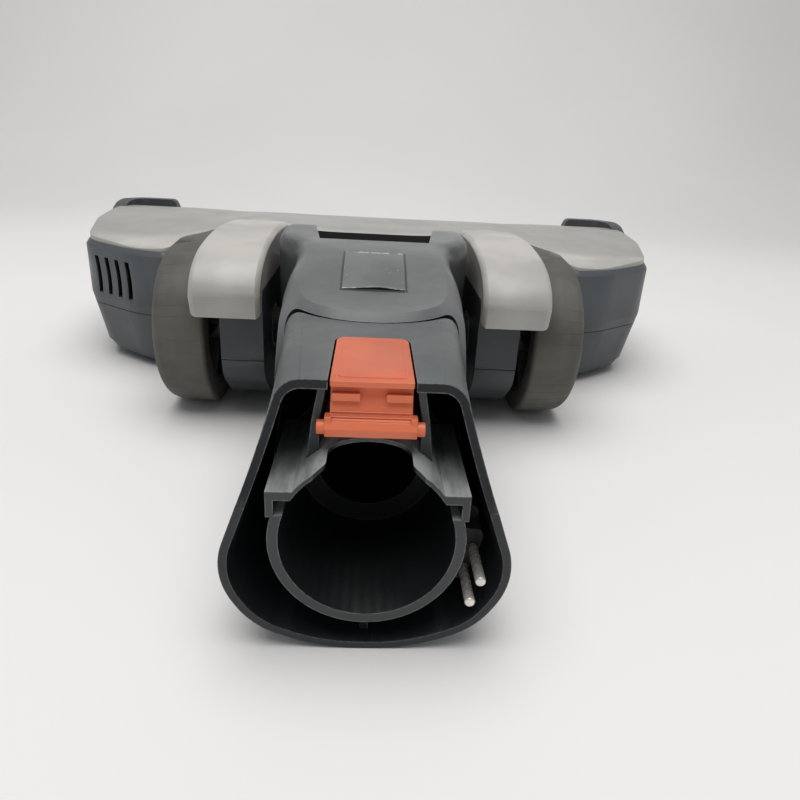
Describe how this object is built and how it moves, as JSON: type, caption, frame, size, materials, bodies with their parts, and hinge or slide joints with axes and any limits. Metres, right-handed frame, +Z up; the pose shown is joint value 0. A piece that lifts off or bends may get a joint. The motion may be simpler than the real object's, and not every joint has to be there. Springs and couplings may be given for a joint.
{
  "type": "powered vacuum floor head",
  "caption": "Powered floor head of a canister vacuum: wide brush housing, two rear wheels, tilting knuckle, swivelling neck hood with wand socket, latch and two-pin plug.",
  "frame": {"origin": "centre of the bounding box's bottom face, on the floor", "axes": "+X along the brush to the right seen from behind, +Y to the front edge, +Z up"},
  "size_m": [0.2738, 0.272, 0.07],
  "materials": {
    "dark_housing": "fine grained dark charcoal moulding",
    "light_cover": "satin warm light grey moulding",
    "neck_grey": "fine grained mid grey moulding",
    "bumper_dark": "matt soft bumper",
    "tyre_rubber": "worn taupe grey rubber",
    "hub_grey": "satin",
    "socket_grey": "satin, scuffed at the mouth",
    "latch_orange": "semi gloss orange",
    "black_plastic": "satin black",
    "nickel": "polished nickel",
    "steel": "turned steel",
    "brush_red": "satin",
    "bristle": "stiff nylon",
    "pile": "short pile",
    "belt_rubber": "ribbed",
    "board_green": "lacquered board",
    "label_grey": "blank satin film",
    "white_plastic": "acetal"
  },
  "bodies": {
    "floor_head": {"lower_housing": "dark_housing", "upper_housing": "dark_housing", "sole_plate": "dark_housing", "sole_screws": "steel", "lint_strip_front": "pile", "lint_strip_rear": "pile", "front_bumper": "bumper_dark", "top_cover": "light_cover", "suction_duct": "black_plastic", "brush_shroud": "black_plastic", "brush_bearing_left": "white_plastic", "brush_bearing_right": "white_plastic", "drive_belt": "belt_rubber", "motor_can": "steel", "motor_end_cap": "black_plastic", "control_board": "board_green", "board_posts": "dark_housing", "axle_pin_left": "steel", "axle_clip_left": "steel", "hinge_bush_left": "white_plastic", "front_roller_fork_left": "dark_housing", "front_roller_pin_left": "steel", "axle_pin_right": "steel", "axle_clip_right": "steel", "hinge_bush_right": "white_plastic", "front_roller_fork_right": "dark_housing", "front_roller_pin_right": "steel"},
    "left_wheel": {"wheel_tyre_left": "tyre_rubber", "wheel_hub_left": "hub_grey", "hub_cap_left": "hub_grey"},
    "right_wheel": {"wheel_tyre_right": "tyre_rubber", "wheel_hub_right": "hub_grey", "hub_cap_right": "hub_grey"},
    "left_front_roller": {"front_roller_left": "tyre_rubber"},
    "right_front_roller": {"front_roller_right": "tyre_rubber"},
    "brush_roll": {"brush_core": "brush_red", "brush_tufts": "bristle", "brush_pulley": "black_plastic"},
    "motor_armature": {"motor_rotor": "steel", "motor_pulley": "steel"},
    "knuckle": {"tilt_drum": "black_plastic", "swivel_sleeve": "black_plastic", "knuckle_cover": "neck_grey", "knuckle_base": "neck_grey", "blank_label": "label_grey"},
    "neck_hood": {"hood_shell": "neck_grey", "wand_socket": "socket_grey", "swivel_ring": "white_plastic", "latch_bracket": "socket_grey", "plug_body": "black_plastic", "plug_pins": "nickel", "latch_spring": "steel"},
    "latch": {"latch_button": "latch_orange"}
  },
  "joints": [
    {"name": "left_wheel_spin", "type": "hinge", "parent": "floor_head", "child": "left_wheel", "pos_m": [-0.068, 0.005, 0.0308], "axis": [1, 0, 0], "continuous": true},
    {"name": "right_wheel_spin", "type": "hinge", "parent": "floor_head", "child": "right_wheel", "pos_m": [0.068, 0.005, 0.0308], "axis": [1, 0, 0], "continuous": true},
    {"name": "left_roller_spin", "type": "hinge", "parent": "floor_head", "child": "left_front_roller", "pos_m": [-0.1228, 0.115, 0.0065], "axis": [1, 0, 0], "continuous": true},
    {"name": "right_roller_spin", "type": "hinge", "parent": "floor_head", "child": "right_front_roller", "pos_m": [0.1228, 0.115, 0.0065], "axis": [1, 0, 0], "continuous": true},
    {"name": "brush_spin", "type": "hinge", "parent": "floor_head", "child": "brush_roll", "pos_m": [0, 0.101, 0.025], "axis": [1, 0, 0], "continuous": true},
    {"name": "motor_spin", "type": "hinge", "parent": "floor_head", "child": "motor_armature", "pos_m": [-0.075, 0.063, 0.038], "axis": [1, 0, 0], "continuous": true},
    {"name": "neck_tilt", "type": "hinge", "parent": "floor_head", "child": "knuckle", "pos_m": [0, 0.005, 0.0308], "axis": [-1, 0, 0], "range_deg": [0, 85]},
    {"name": "neck_swivel", "type": "hinge", "parent": "knuckle", "child": "neck_hood", "pos_m": [0, -0.095, 0.0275], "axis": [0, 1, 0], "range_deg": [-90, 90]},
    {"name": "latch_press", "type": "hinge", "parent": "neck_hood", "child": "latch", "pos_m": [0, -0.11, 0.0547], "axis": [-1, 0, 0], "range_deg": [0, 6], "stiffness_Nm_per_rad": 0.4, "deforming": ["latch_spring"]}
  ],
  "couplings": [
    {"joint": "motor_spin", "follows": "brush_spin", "ratio": 2}
  ]
}
